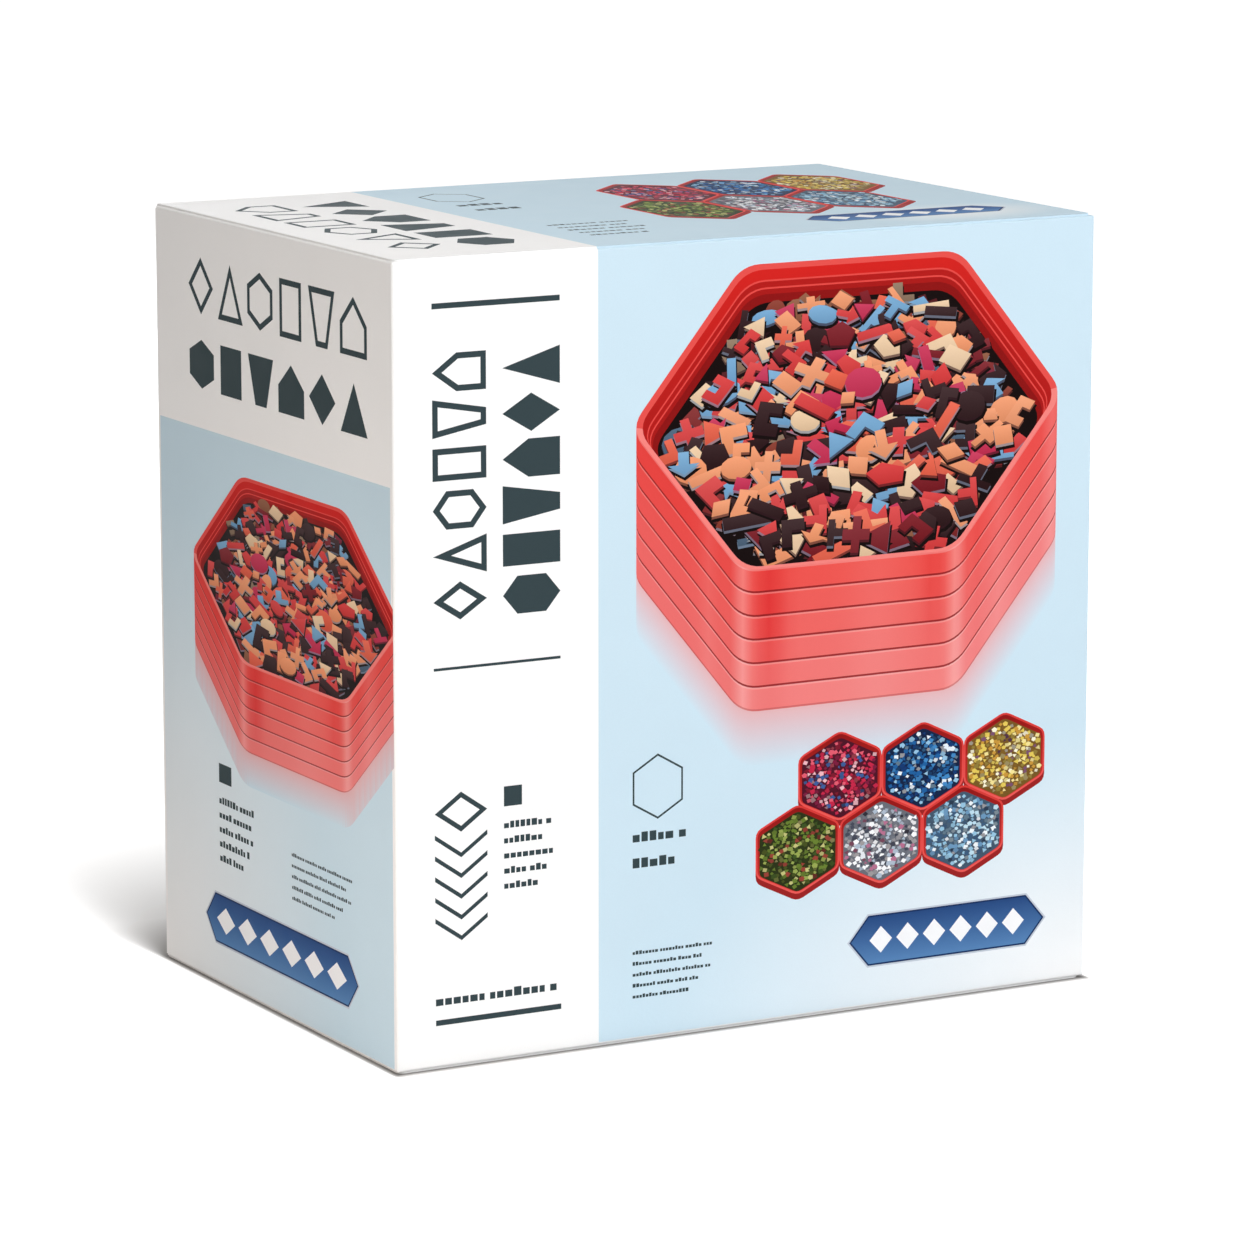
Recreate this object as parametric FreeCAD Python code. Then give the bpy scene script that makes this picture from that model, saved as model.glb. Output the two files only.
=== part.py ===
import FreeCAD, Part
import math
import os

# A shut, printed retail carton. One blank of board is folded into a tube, glued down its back
# corner and closed by outer flaps that hang from the back panel. Millimetres. The front panel
# faces -Y, the left panel faces -X, and the origin is the middle of the base.

# The folded board
BOX_WIDTH = 200.0
BOX_DEPTH = 136.0
BOX_HEIGHT = 200.0
BOARD = 0.5
FOLD_RADIUS = 0.6
FLAP_SETBACK = 0.7
FLAP_CORNER = 2.0
SEAM_LAP = 12.0

# The ink, let into the board so that it ends flush with it
INK_DEPTH = 0.2

# The fields of colour
BAND_WIDTH = 56.0
SIDE_FIELD_HEIGHT = 145.0
FIELD_BLEED = 1.0

# The white band: rules, two rows of figures, a sign of stacked lozenges and lines of bars
BAND_MARGIN = 10.6
THICK_RULE = 1.4
THIN_RULE = 0.7
RULE_TO_EDGE = 11.0
FIGURE_COUNT = 6
FIGURE_FILL = 0.84
OUTLINE_ROW = 14.6
OUTLINE_STROKE = 1.5
ROW_GAP = 4.4
FRONT_ROWS_TO_TOP = 21.4
FRONT_ROWS_LENGTH = 67.0
FRONT_ROWS_TO_RULE = 12.2
LID_ROWS_MARGIN = 16.0
SIDE_ROWS_MARGIN = 20.4
SIDE_ROWS_TO_TOP = 11.0
SIDE_ROW_GAP = 6.5
SIDE_BOLD_ROW = 12.6

SIGN_FOOT = 33.0
SIGN_WIDTH = 14.4
SIGN_LOZENGE = 10.0
SIGN_PITCH = 5.2
SIGN_COUNT = 6
SIGN_STROKE = 1.2
MARK_SIZE = 5.0

# Lines of plain bars where a printed box has its small wording
BAR_HEIGHT = 1.7
BAR_PITCH = 3.8
BAR_LENGTH = 14.6
BAR_LINES = 5
SMALL_BAR_HEIGHT = 0.9
SMALL_BAR_PITCH = 2.8
SMALL_BAR_LENGTH = 23.0
LARGE_BAR_HEIGHT = 2.6
LARGE_BAR_PITCH = 6.6
LARGE_BAR_LENGTH = 16.0
LARGE_BAR_LINES = 2

# The picture of stacked six-sided dishes, drawn once and scaled to each panel
DISH_HALF_WIDTH = 63.0
DISH_MARGIN = 9.0
DISH_TO_TOP = 7.0
DISH_TILT = 0.7
DISH_COUNT = 6
DISH_WALL = 6.0
DISH_RIM = 2.2
DISH_SINK = 6.0
DISH_SEAM = 0.6
REFLECTION = 9.0
CHIP_COUNT = 26
CHIP_RADIUS = 7.5
FAR_CHIP_COUNT = 5
FAR_CHIP_RADIUS = 14.0
SIDE_DISH_MARGIN = 19.7
SIDE_DISH_BLEED = 4.0
SIDE_DISH_TO_FIELD = 9.0
SIDE_DISH_HEIGHT = 71.0

# The picture of six separate cells in two staggered rows
CELL_WIDTH = 24.6
CELL_HEIGHT = 23.6
CELL_RIM = 1.2
CELL_MARGIN = 13.0
CELL_FOOT = 32.0
CELLS_PER_ROW = 3
FLECK_COUNT = 3
FLECK_RADIUS = 3.4
LID_CELLS_FRONT = 36.0
LID_CELLS_BACK = 18.0

# The blue field's small things
FIELD_MARGIN = 9.6
BADGE_WIDTH = 14.3
BADGE_HEIGHT = 16.6
BADGE_STROKE = 0.7
BADGE_FOOT = 56.2
RIBBON_FOOT = 10.6
RIBBON_LENGTH = 60.0
RIBBON_HEIGHT = 14.0
RIBBON_POINT = 6.0
RIBBON_MARGIN = 12.0
LOZENGE_COUNT = 6
LOZENGE_HEIGHT = 7.0
SMALL_LINES_FOOT = 9.4
LID_RIBBON_FRONT = 16.0
LID_LINES_TOP = 45.0
LID_LINES_STRETCH = 2.0
SIDE_STRETCH = 1.5

GOLDEN_ANGLE = math.pi * (3.0 - math.sqrt(5.0))
LEFT_SIDE = -BOX_WIDTH / 2
FRONT_SIDE = -BOX_DEPTH / 2
RULE_LENGTH = BAND_WIDTH - 2 * BAND_MARGIN
BOLD_ROW = RULE_LENGTH - OUTLINE_ROW - ROW_GAP
PANEL_TOP = BOX_HEIGHT - BOARD - FOLD_RADIUS
PANEL_FOOT = BOARD + FOLD_RADIUS
FIELD_WIDTH = BOX_WIDTH - BAND_WIDTH
DISH_STACK = DISH_COUNT * DISH_WALL
DISH_REACH = DISH_HALF_WIDTH * DISH_TILT * math.sin(math.pi / 3)
DISH_PICTURE_HEIGHT = 2 * DISH_REACH + DISH_STACK
FRONT_DISH_SCALE = (FIELD_WIDTH / 2 - DISH_MARGIN) / DISH_HALF_WIDTH
SIDE_DISH_SCALE = SIDE_DISH_HEIGHT / DISH_PICTURE_HEIGHT
SIDE_DISH_FOOT = SIDE_FIELD_HEIGHT - SIDE_DISH_TO_FIELD - SIDE_DISH_HEIGHT
SIDE_OUTLINE_BASE = BOX_HEIGHT - SIDE_ROWS_TO_TOP - OUTLINE_ROW
SIDE_ROWS_LENGTH = BOX_DEPTH - SIDE_ROWS_MARGIN - BAND_MARGIN
CELLS_LENGTH = CELL_WIDTH * (CELLS_PER_ROW + 0.5)
CELLS_DEPTH = CELL_HEIGHT * 1.75

# Unit figures for the two rows, each in a cell one wide and one high
FIGURES = [
    [(0.5, 0), (1, 0.5), (0.5, 1), (0, 0.5)],
    [(0, 0), (1, 0), (0.5, 1)],
    [(0.5, 0), (1, 0.25), (1, 0.75), (0.5, 1), (0, 0.75), (0, 0.25)],
    [(0.08, 0), (0.92, 0), (0.92, 1), (0.08, 1)],
    [(0, 1), (0.28, 0), (0.72, 0), (1, 1)],
    [(0, 0), (1, 0), (1, 0.55), (0.5, 1), (0, 0.55)],
]


def polygon(points):
    """A flat face through (u, v) pairs."""
    corners = [FreeCAD.Vector(u, v, 0) for u, v in points]
    return Part.Face(Part.makePolygon(corners + corners[:1]))


def bar(u, v, length, height):
    """An upright rectangle with its lower left corner at u, v."""
    return polygon([(u, v), (u + length, v), (u + length, v + height), (u, v + height)])


def inset(points, distance):
    """The convex outline that runs inside points at an even distance."""
    inner = []
    middle_u = sum(u for u, _ in points) / len(points)
    middle_v = sum(v for _, v in points) / len(points)
    for before, here, after in zip(points[-1:] + points[:-1], points, points[1:] + points[:1]):
        normals = []
        for start, end in ((before, here), (here, after)):
            run_u, run_v = end[0] - start[0], end[1] - start[1]
            size = math.hypot(run_u, run_v)
            side = 1 if run_u * (middle_v - start[1]) - run_v * (middle_u - start[0]) > 0 else -1
            normals.append((-run_v / size * side, run_u / size * side))
        (a_u, a_v), (b_u, b_v) = normals
        share = distance / (1 + a_u * b_u + a_v * b_v)
        inner.append((here[0] + (a_u + b_u) * share, here[1] + (a_v + b_v) * share))
    return inner


def outline(points, stroke):
    """A line of even width inside a convex outline."""
    return polygon(points).cut(polygon(inset(points, stroke)))


def hexagon(centre_u, centre_v, half_width, half_height, turn=0.0):
    """A six-sided outline, foreshortened by its half height."""
    angles = [turn + math.pi / 3 * corner for corner in range(6)]
    return [(centre_u + half_width * math.cos(a), centre_v + half_height * math.sin(a)) for a in angles]


def hexagon_reach(turn):
    """How far a hexagon of unit radius reaches at an angle from one of its corners."""
    return math.cos(math.pi / 6) / math.cos(turn % (math.pi / 3) - math.pi / 6)


def figure_row(start, length, base, height, outlined, climbs):
    """A row of figures, outlined or solid, running up the panel or across it."""
    pitch = length / FIGURE_COUNT
    first = 0 if outlined else 2
    shapes = []
    for place in range(FIGURE_COUNT):
        points = []
        for along, across in FIGURES[(place + first) % len(FIGURES)]:
            run = start + pitch * (place + along * FIGURE_FILL)
            rise = base + height * across
            points.append((base + height * (1 - across), run) if climbs else (run, rise))
        shapes.append(("dark_grey", outline(points, OUTLINE_STROKE) if outlined else polygon(points)))
    return shapes


def bar_lines(u, top, length, height, pitch, lines):
    """Lines of plain bars of uneven length, hanging from top."""
    shares = [1.0, 0.9, 1.0, 0.84, 0.72]
    return [("dark_grey", bar(u, top - height - pitch * line, length * shares[line % len(shares)], height))
            for line in range(lines)]


def stacked_sign(u, v):
    """A lozenge over nested chevrons, the plain sign for things that stack."""
    half, rise = SIGN_WIDTH / 2, SIGN_LOZENGE / 2
    middle = u + half
    shapes = []
    top = v + SIGN_PITCH * (SIGN_COUNT - 1) + rise
    lozenge = [(u, top), (middle, top - rise), (u + SIGN_WIDTH, top), (middle, top + rise)]
    shapes.append(("dark_grey", outline(lozenge, SIGN_STROKE)))
    for level in range(1, SIGN_COUNT):
        edge = top - SIGN_PITCH * level
        chevron = [(u, edge), (middle, edge - rise), (u + SIGN_WIDTH, edge),
                   (u + SIGN_WIDTH, edge - SIGN_STROKE), (middle, edge - rise - SIGN_STROKE),
                   (u, edge - SIGN_STROKE)]
        shapes.append(("dark_grey", polygon(chevron)))
    return shapes


def dish_stack(centre_u, foot_v, scale_u, scale_v, chip_count, chip_radius):
    """Six-sided red dishes in a stack, the top one full of cut chips of colour."""
    def place(points):
        return polygon([(centre_u + scale_u * u, foot_v + scale_v * v) for u, v in points])

    level = DISH_STACK + DISH_REACH
    half_height = DISH_HALF_WIDTH * DISH_TILT
    rim = hexagon(0, level, DISH_HALF_WIDTH, half_height)
    near_path = [rim[3], rim[4], rim[5], rim[0]]

    def lowered(path, drop):
        return [(u, v - drop) for u, v in path]

    foot = lowered(near_path, DISH_STACK)
    shapes = [("pink", place(foot + lowered(foot, REFLECTION)[::-1]))]
    for wall, ink in enumerate(("mid_red", "light_red", "mid_red")):
        top_edge = near_path[wall:wall + 2]
        shapes.append((ink, place(top_edge + lowered(top_edge, DISH_STACK)[::-1])))
    for seam in range(1, DISH_COUNT):
        upper = lowered(near_path, DISH_WALL * seam)
        shapes.append(("deep_red", place(upper + lowered(upper, DISH_SEAM)[::-1])))
    inside = hexagon(0, level, DISH_HALF_WIDTH - DISH_RIM, half_height - DISH_RIM * DISH_TILT)
    pile = hexagon(0, level - DISH_SINK, DISH_HALF_WIDTH - DISH_SINK, half_height - DISH_SINK * DISH_TILT)
    shapes.append(("light_red", place(rim)))
    shapes.append(("deep_red", place(inside)))
    bed = place(pile).common(place(inside))
    shapes.append(("black", bed))
    inks = ("orange", "light_red", "cream", "deep_red", "sky_blue", "orange", "mid_red")
    spread = DISH_HALF_WIDTH - DISH_SINK - chip_radius
    for chip in range(chip_count):
        turn = GOLDEN_ANGLE * chip
        reach = spread * hexagon_reach(turn) * math.sqrt((chip + 0.5) / chip_count)
        middle = (reach * math.cos(turn), level - DISH_SINK + reach * DISH_TILT * math.sin(turn))
        sides = 3 + chip % 2
        corners = [turn * 2 + math.tau / sides * corner for corner in range(sides)]
        points = [(middle[0] + chip_radius * math.cos(a), middle[1] + chip_radius * DISH_TILT * math.sin(a))
                  for a in corners]
        shapes.append((inks[chip % len(inks)], place(points).common(bed)))
    return shapes


def cell_rows(u, v, stretch):
    """Six cells in two staggered rows, each full of flecks of its own colour."""
    kinds = (("green", "cream"), ("white", "deep_red"), ("sky_blue", "white"),
             ("mid_red", "orange"), ("blue", "sky_blue"), ("yellow", "cream"))
    shapes = []
    for cell, (ground, fleck) in enumerate(kinds):
        row, column = divmod(cell, CELLS_PER_ROW)
        middle_u = u + CELL_WIDTH * (column + 0.5 + 0.5 * row)
        middle_v = v + CELL_HEIGHT * stretch * (0.5 + 0.75 * row)
        half_height = CELL_HEIGHT * stretch / 2
        half_width = CELL_WIDTH / 2 / math.cos(math.pi / 6)
        rim = hexagon(middle_u, middle_v, half_width, half_height, math.pi / 6)
        shapes.append(("deep_red", polygon(rim)))
        shapes.append((ground, polygon(inset(rim, CELL_RIM))))
        for spot in range(FLECK_COUNT):
            reach = (CELL_WIDTH / 2 - CELL_RIM - FLECK_RADIUS) * math.sqrt((spot + 0.5) / FLECK_COUNT)
            turn = GOLDEN_ANGLE * spot + cell
            spot_u = middle_u + reach * math.cos(turn)
            spot_v = middle_v + reach * math.sin(turn) * CELL_HEIGHT * stretch / CELL_WIDTH
            angles = [turn * 2 + math.tau / 3 * corner for corner in range(3)]
            triangle = [(spot_u + FLECK_RADIUS * math.cos(a), spot_v + FLECK_RADIUS * stretch * math.sin(a))
                        for a in angles]
            shapes.append((fleck, polygon(triangle)))
    return shapes


def lozenge_ribbon(u, v, length):
    """A dark blue ribbon with pointed ends and a row of white lozenges."""
    middle_v = v + RIBBON_HEIGHT / 2
    ends = (u + RIBBON_POINT, u + length - RIBBON_POINT)
    ribbon = [(u, middle_v), (ends[0], v), (ends[1], v), (u + length, middle_v),
              (ends[1], v + RIBBON_HEIGHT), (ends[0], v + RIBBON_HEIGHT)]
    shapes = [("navy", polygon(ribbon))]
    pitch = (ends[1] - ends[0]) / LOZENGE_COUNT
    half, rise = pitch * FIGURE_FILL / 2, LOZENGE_HEIGHT / 2
    for place in range(LOZENGE_COUNT):
        middle_u = ends[0] + pitch * (place + 0.5)
        points = [(middle_u - half, middle_v), (middle_u, middle_v - rise),
                  (middle_u + half, middle_v), (middle_u, middle_v + rise)]
        shapes.append(("white", polygon(points)))
    return shapes


def front_print():
    """Shapes on the front panel, from the lowest layer to the highest."""
    bold_base = BAND_MARGIN + OUTLINE_ROW + ROW_GAP
    rows_foot = BOX_HEIGHT - FRONT_ROWS_TO_TOP - FRONT_ROWS_LENGTH
    field = BAND_WIDTH + FIELD_MARGIN
    dish_middle = BAND_WIDTH + FIELD_WIDTH / 2
    dish_foot = BOX_HEIGHT - DISH_TO_TOP - DISH_PICTURE_HEIGHT * FRONT_DISH_SCALE
    sign_top = SIGN_FOOT + SIGN_PITCH * (SIGN_COUNT - 1) + SIGN_LOZENGE
    shapes = dish_stack(dish_middle, dish_foot, FRONT_DISH_SCALE, FRONT_DISH_SCALE, CHIP_COUNT, CHIP_RADIUS)
    shapes += cell_rows(BOX_WIDTH - CELL_MARGIN - CELLS_LENGTH, CELL_FOOT, 1.0)
    shapes += lozenge_ribbon(BOX_WIDTH - RIBBON_MARGIN - RIBBON_LENGTH, RIBBON_FOOT, RIBBON_LENGTH)
    badge_turn = math.pi / 6
    badge = hexagon(field + BADGE_WIDTH / 2, BADGE_FOOT + BADGE_HEIGHT / 2,
                    BADGE_WIDTH / 2 / math.cos(badge_turn), BADGE_HEIGHT / 2, badge_turn)
    shapes.append(("dark_grey", outline(badge, BADGE_STROKE)))
    shapes += bar_lines(field, BADGE_FOOT - LARGE_BAR_HEIGHT, LARGE_BAR_LENGTH, LARGE_BAR_HEIGHT,
                        LARGE_BAR_PITCH, LARGE_BAR_LINES)
    shapes += bar_lines(field, SMALL_LINES_FOOT + SMALL_BAR_PITCH * BAR_LINES, SMALL_BAR_LENGTH,
                        SMALL_BAR_HEIGHT, SMALL_BAR_PITCH, BAR_LINES)
    shapes += figure_row(rows_foot, FRONT_ROWS_LENGTH, BAND_MARGIN, OUTLINE_ROW, True, True)
    shapes += figure_row(rows_foot, FRONT_ROWS_LENGTH, bold_base, BOLD_ROW, False, True)
    top_rule = BOX_HEIGHT - RULE_TO_EDGE - THICK_RULE
    shapes.append(("dark_grey", bar(BAND_MARGIN, top_rule, RULE_LENGTH, THICK_RULE)))
    shapes.append(("dark_grey", bar(BAND_MARGIN, rows_foot - FRONT_ROWS_TO_RULE, RULE_LENGTH, THIN_RULE)))
    shapes.append(("dark_grey", bar(BAND_MARGIN, RULE_TO_EDGE, RULE_LENGTH, THICK_RULE)))
    foot_line = RULE_TO_EDGE + THICK_RULE + BAR_PITCH
    shapes += bar_lines(BAND_MARGIN, foot_line + BAR_HEIGHT, RULE_LENGTH, BAR_HEIGHT, BAR_PITCH, 1)
    shapes += stacked_sign(BAND_MARGIN, SIGN_FOOT)
    shapes.append(("dark_grey", bar(bold_base, sign_top - MARK_SIZE, MARK_SIZE, MARK_SIZE)))
    shapes += bar_lines(bold_base, sign_top - MARK_SIZE - BAR_PITCH, BAR_LENGTH, BAR_HEIGHT, BAR_PITCH,
                        BAR_LINES)
    return shapes


def side_print(chip_count, chip_radius):
    """Shapes on both side panels: a row of solid figures over a picture, and a ribbon."""
    scale_u = (BOX_DEPTH - SIDE_DISH_MARGIN + SIDE_DISH_BLEED) / 2 / DISH_HALF_WIDTH
    dish_middle = SIDE_DISH_MARGIN + scale_u * DISH_HALF_WIDTH
    shapes = dish_stack(dish_middle, SIDE_DISH_FOOT, scale_u, SIDE_DISH_SCALE, chip_count, chip_radius)
    shapes += figure_row(SIDE_ROWS_MARGIN, SIDE_ROWS_LENGTH, SIDE_OUTLINE_BASE - SIDE_ROW_GAP - SIDE_BOLD_ROW,
                         SIDE_BOLD_ROW, False, False)
    shapes += lozenge_ribbon(SIDE_ROWS_MARGIN + MARK_SIZE, RIBBON_FOOT, RIBBON_LENGTH * SIDE_STRETCH)
    return shapes


def left_print():
    """Shapes on the left panel: white above, a pale blue field below."""
    clear = FOLD_RADIUS + FIELD_BLEED
    field = bar(clear, PANEL_FOOT, BOX_DEPTH - 2 * clear, SIDE_FIELD_HEIGHT - PANEL_FOOT)
    shapes = [("pale_blue", field)] + side_print(CHIP_COUNT, CHIP_RADIUS)
    shapes += figure_row(SIDE_ROWS_MARGIN, SIDE_ROWS_LENGTH, SIDE_OUTLINE_BASE, OUTLINE_ROW, True, False)
    text = SIDE_ROWS_MARGIN + SIGN_WIDTH
    text_top = SIDE_DISH_FOOT - REFLECTION * SIDE_DISH_SCALE
    shapes.append(("dark_grey", bar(text, text_top - MARK_SIZE, MARK_SIZE * SIDE_STRETCH, MARK_SIZE)))
    shapes += bar_lines(text, text_top - MARK_SIZE - BAR_PITCH, BAR_LENGTH * SIDE_STRETCH, BAR_HEIGHT,
                        BAR_PITCH, BAR_LINES)
    shapes += bar_lines(BOX_DEPTH / 2 + FIELD_MARGIN, text_top - MARK_SIZE * 3,
                        SMALL_BAR_LENGTH * SIDE_STRETCH, SMALL_BAR_HEIGHT, SMALL_BAR_PITCH, BAR_LINES)
    return shapes


def right_print():
    """Shapes on the right panel, where the wrap already holds the pale blue field."""
    return side_print(FAR_CHIP_COUNT, FAR_CHIP_RADIUS)


def back_print():
    """Shapes on the back panel: the band's two rules and a ribbon on the field."""
    band = BOX_WIDTH - BAND_WIDTH + BAND_MARGIN
    top_rule = BOX_HEIGHT - RULE_TO_EDGE - THICK_RULE
    rules = [("dark_grey", bar(band, foot, RULE_LENGTH, THICK_RULE)) for foot in (RULE_TO_EDGE, top_rule)]
    return rules + lozenge_ribbon(RIBBON_MARGIN, RIBBON_FOOT, RIBBON_LENGTH)


def lid_print():
    """Shapes on the top panel, which read on from the front panel."""
    rows_length = BOX_DEPTH - 2 * LID_ROWS_MARGIN
    stretch = (BOX_DEPTH - LID_CELLS_FRONT - LID_CELLS_BACK) / CELLS_DEPTH
    shapes = cell_rows(BOX_WIDTH - CELL_MARGIN - CELLS_LENGTH, LID_CELLS_FRONT, stretch)
    shapes += lozenge_ribbon(BOX_WIDTH - RIBBON_MARGIN - RIBBON_LENGTH, LID_RIBBON_FRONT, RIBBON_LENGTH)
    shapes += figure_row(LID_ROWS_MARGIN, rows_length, BAND_MARGIN, OUTLINE_ROW, True, True)
    shapes += figure_row(LID_ROWS_MARGIN, rows_length, BAND_MARGIN + OUTLINE_ROW + ROW_GAP, BOLD_ROW,
                         False, True)
    shapes += bar_lines(BAND_WIDTH + FIELD_MARGIN, LID_LINES_TOP, SMALL_BAR_LENGTH,
                        SMALL_BAR_HEIGHT * LID_LINES_STRETCH, SMALL_BAR_PITCH * LID_LINES_STRETCH, BAR_LINES)
    return shapes


def panel_placements():
    """Where each printed panel's u, v and outward axes lie, with its flat stretch."""
    near_left = FreeCAD.Vector(LEFT_SIDE, FRONT_SIDE, 0)
    x, y, z = FreeCAD.Vector(1, 0, 0), FreeCAD.Vector(0, 1, 0), FreeCAD.Vector(0, 0, 1)
    across = (FOLD_RADIUS, PANEL_FOOT, BOX_WIDTH - FOLD_RADIUS, PANEL_TOP)
    deep = (FOLD_RADIUS, PANEL_FOOT, BOX_DEPTH - FOLD_RADIUS, PANEL_TOP)
    edge = FLAP_SETBACK + INK_DEPTH
    lid = (edge, edge, BOX_WIDTH - edge, BOX_DEPTH - FOLD_RADIUS)
    seamed_deep = (FOLD_RADIUS, PANEL_FOOT, BOX_DEPTH - BOARD - FOLD_RADIUS, PANEL_TOP)
    seamed_across = (edge, PANEL_FOOT, BOX_WIDTH - FOLD_RADIUS, PANEL_TOP)
    return [
        (front_print(), near_left, x, z, across),
        (left_print(), near_left + y * BOX_DEPTH, -y, z, deep),
        (lid_print(), near_left + z * BOX_HEIGHT, x, y, lid),
        (right_print(), near_left + x * BOX_WIDTH, y, z, seamed_deep),
        (back_print(), near_left + x * BOX_WIDTH + y * BOX_DEPTH, -x, z, seamed_across),
    ]


def seen_shapes(shapes, flat):
    """What shows of each shape once the shapes printed over it are taken away."""
    u0, v0, u1, v1 = flat
    panel = bar(u0, v0, u1 - u0, v1 - v0)
    printed = [(ink, face.common(panel)) for ink, face in shapes]
    printed = [(ink, face) for ink, face in printed if face.Faces]
    seen = []
    for index, (ink, face) in enumerate(printed):
        over = [other for _, other in printed[index + 1:] if other.BoundBox.intersect(face.BoundBox)]
        seen.append((ink, face.cut(over) if over else face))
    return seen


def ink_solids():
    """Every ink's shapes as flush solids, let in from the panels' faces."""
    inks = {}
    for shapes, origin, u_axis, v_axis, flat in panel_placements():
        out = u_axis.cross(v_axis)
        matrix = FreeCAD.Matrix(u_axis.x, v_axis.x, out.x, origin.x, u_axis.y, v_axis.y, out.y, origin.y,
                                u_axis.z, v_axis.z, out.z, origin.z, 0, 0, 0, 1)
        for ink, shape in seen_shapes(shapes, flat):
            for face in shape.Faces:
                solid = face.extrude(FreeCAD.Vector(0, 0, -INK_DEPTH))
                solid.Placement = FreeCAD.Placement(matrix)
                inks.setdefault(ink, []).append(solid)
    return inks


def block(x0, x1, y0, y1, z0, z1):
    return Part.makeBox(x1 - x0, y1 - y0, z1 - z0, FreeCAD.Vector(x0, y0, z0))


def edges_at(shape, direction, **where):
    """The straight edges along one axis whose middle lies at the given coordinates."""
    found = []
    for edge in shape.Edges:
        run = edge.tangentAt(edge.FirstParameter)
        middle = edge.CenterOfMass
        on_line = all(abs(getattr(middle, axis) - value) < BOARD / 10 for axis, value in where.items())
        if abs(getattr(run, direction)) > 0.99 and on_line:
            found.append(edge)
    return found


def folded_block(x0, x1, y0, y1, z0, z1, fold):
    """A block whose twelve edges are folds, creased where three of them meet."""
    whole = block(x0, x1, y0, y1, z0, z1)
    along_x, along_y, along_z = [whole.makeFillet(fold, edges_at(whole, axis)) for axis in "xyz"]
    return along_x.common(along_y).common(along_z)


def closed_carton(sunk):
    """The carton's outer form, drawn in by sunk all round."""
    left, right = LEFT_SIDE + sunk, -LEFT_SIDE - sunk
    front, back = FRONT_SIDE + sunk, -FRONT_SIDE - sunk
    fold = FOLD_RADIUS - sunk
    tube = folded_block(left, right, front, back - BOARD, BOARD + sunk, BOX_HEIGHT - BOARD - sunk, fold)

    flap_left, flap_right = left + FLAP_SETBACK, right - FLAP_SETBACK
    flaps = block(flap_left, flap_right, front + FLAP_SETBACK, back, sunk, BOX_HEIGHT - sunk)
    hinges = edges_at(flaps, "x", y=back)
    flaps = flaps.makeFillet(fold, hinges)
    corners = edges_at(flaps, "z", y=front + FLAP_SETBACK)
    flaps = flaps.makeFillet(FLAP_CORNER - sunk, corners)

    panel = block(left, flap_right, back - SEAM_LAP, back, PANEL_FOOT + sunk, PANEL_TOP - sunk)
    panel = panel.makeFillet(fold, edges_at(panel, "z", x=left, y=back))
    return tube.fuse([flaps, panel]).removeSplitter()


def blue_wrap(outer):
    """The pale blue field that runs round the front, right, back and top panels."""
    skin = outer.cut(closed_carton(INK_DEPTH))
    field = block(LEFT_SIDE + BAND_WIDTH, -LEFT_SIDE + BOARD, FRONT_SIDE - BOARD, -FRONT_SIDE + BOARD,
                  PANEL_FOOT, BOX_HEIGHT + BOARD)
    clear = FOLD_RADIUS + FIELD_BLEED
    side_white = block(-LEFT_SIDE - BOARD, -LEFT_SIDE + BOARD, FRONT_SIDE + clear,
                       -FRONT_SIDE - BOARD - clear, SIDE_FIELD_HEIGHT, PANEL_TOP)
    return skin.common(field.cut(side_white))


def main():
    outer = closed_carton(0.0)
    wrap = blue_wrap(outer)
    inks = ink_solids()
    let_in = [solid for solids in inks.values() for solid in solids]
    carton = outer.cut([wrap] + let_in).removeSplitter()
    inks["pale_blue"] = wrap.cut(let_in).Solids + inks["pale_blue"]

    os.makedirs("parts", exist_ok=True)
    carton.Solids[0].exportStep("parts/carton.step")
    print("carton", len(carton.Solids), carton.isValid(), round(carton.Volume, 1))
    for ink, solids in sorted(inks.items()):
        group = Part.makeCompound(solids)
        group.exportStep(f"parts/print_{ink}.step")
        print(ink, len(solids), group.isValid(), round(group.Volume, 2))


main()
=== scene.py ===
import math
import random

import bpy
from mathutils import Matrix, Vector, geometry
from mathutils.bvhtree import BVHTree


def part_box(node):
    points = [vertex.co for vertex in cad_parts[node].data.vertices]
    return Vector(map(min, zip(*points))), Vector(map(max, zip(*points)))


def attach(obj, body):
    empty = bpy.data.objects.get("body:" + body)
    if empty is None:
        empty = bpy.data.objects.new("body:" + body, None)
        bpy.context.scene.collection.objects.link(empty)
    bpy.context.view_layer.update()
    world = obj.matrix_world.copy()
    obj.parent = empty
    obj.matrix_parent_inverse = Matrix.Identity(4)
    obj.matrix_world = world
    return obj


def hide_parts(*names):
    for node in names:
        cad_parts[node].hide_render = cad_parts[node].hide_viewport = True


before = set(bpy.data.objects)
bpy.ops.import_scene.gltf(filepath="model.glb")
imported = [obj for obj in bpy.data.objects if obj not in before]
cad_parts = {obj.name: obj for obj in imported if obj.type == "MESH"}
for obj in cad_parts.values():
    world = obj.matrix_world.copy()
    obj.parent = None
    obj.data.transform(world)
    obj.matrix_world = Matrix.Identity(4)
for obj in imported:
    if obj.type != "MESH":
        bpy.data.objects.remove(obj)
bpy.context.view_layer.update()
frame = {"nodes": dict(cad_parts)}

# Parts of a full turn
SIXTH = math.pi / 3
TWELFTH = math.pi / 6
GOLDEN_ANGLE = math.pi * (3.0 - math.sqrt(5.0))

# The carton's outer sizes come from the frame. The drawings below are in millimetres on each panel.
MM = 0.001
LOW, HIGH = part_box("carton")
WIDTH, DEPTH, HEIGHT = [side / MM for side in HIGH - LOW]
FOLD = 0.6
BOARD = 0.5
FLAP_EDGE = 0.9
PRINT_LIFT = 0.02
SMALLEST_SHAPE = 0.002
PANEL_FOOT = BOARD + FOLD
PANEL_TOP = HEIGHT - BOARD - FOLD

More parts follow.
